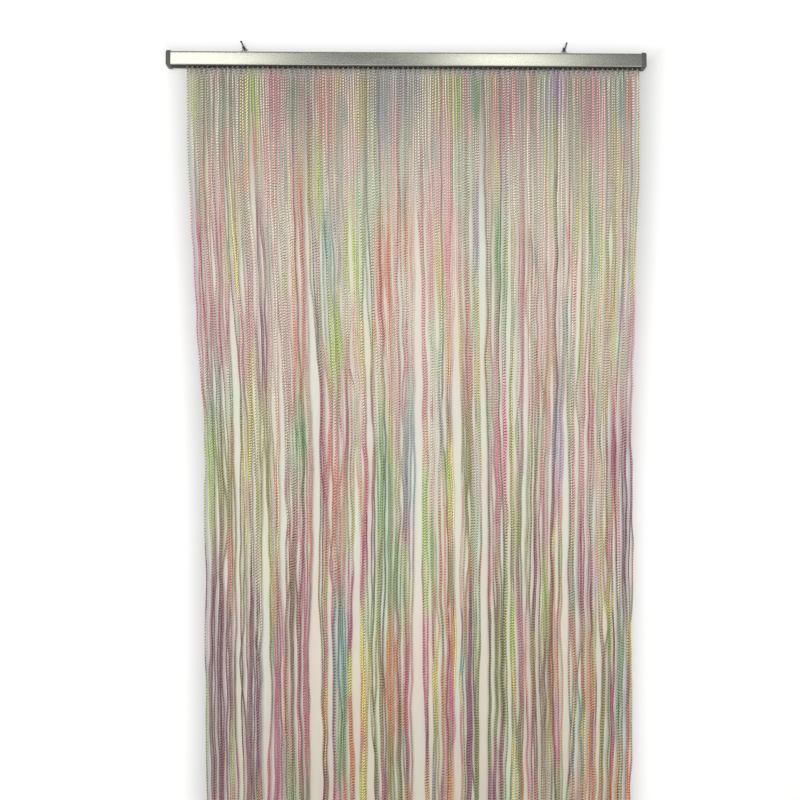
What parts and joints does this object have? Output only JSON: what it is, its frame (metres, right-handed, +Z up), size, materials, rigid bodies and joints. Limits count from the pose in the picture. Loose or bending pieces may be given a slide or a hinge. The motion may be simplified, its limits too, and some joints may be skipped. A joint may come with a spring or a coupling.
{
  "type": "string curtain with rail and wall hooks",
  "caption": "Full-length string curtain of thin dyed cords hanging from a slotted metal rail with end caps, held by two sliding hangers on two open wall hooks.",
  "frame": {"origin": "on the wall plane at the height of the hooks' shanks, above the middle of the rail", "axes": "+X along the rail to the right as seen from the room, +Y into the wall, +Z up"},
  "size_m": [0.9, 0.0259, 2.2237],
  "materials": {
    "rail": "satin anodised",
    "caps": "dark grey, matt",
    "hangers": "dull grey",
    "hooks": "black",
    "cords": "twisted cord dyed in soft changing colours"
  },
  "bodies": {
    "root": {"rail": "rail", "cap_left": "caps", "cap_right": "caps", "hanger_left": "hangers", "hanger_right": "hangers", "hook_left": "hooks", "hook_right": "hooks", "strands": "cords"}
  },
  "joints": []
}
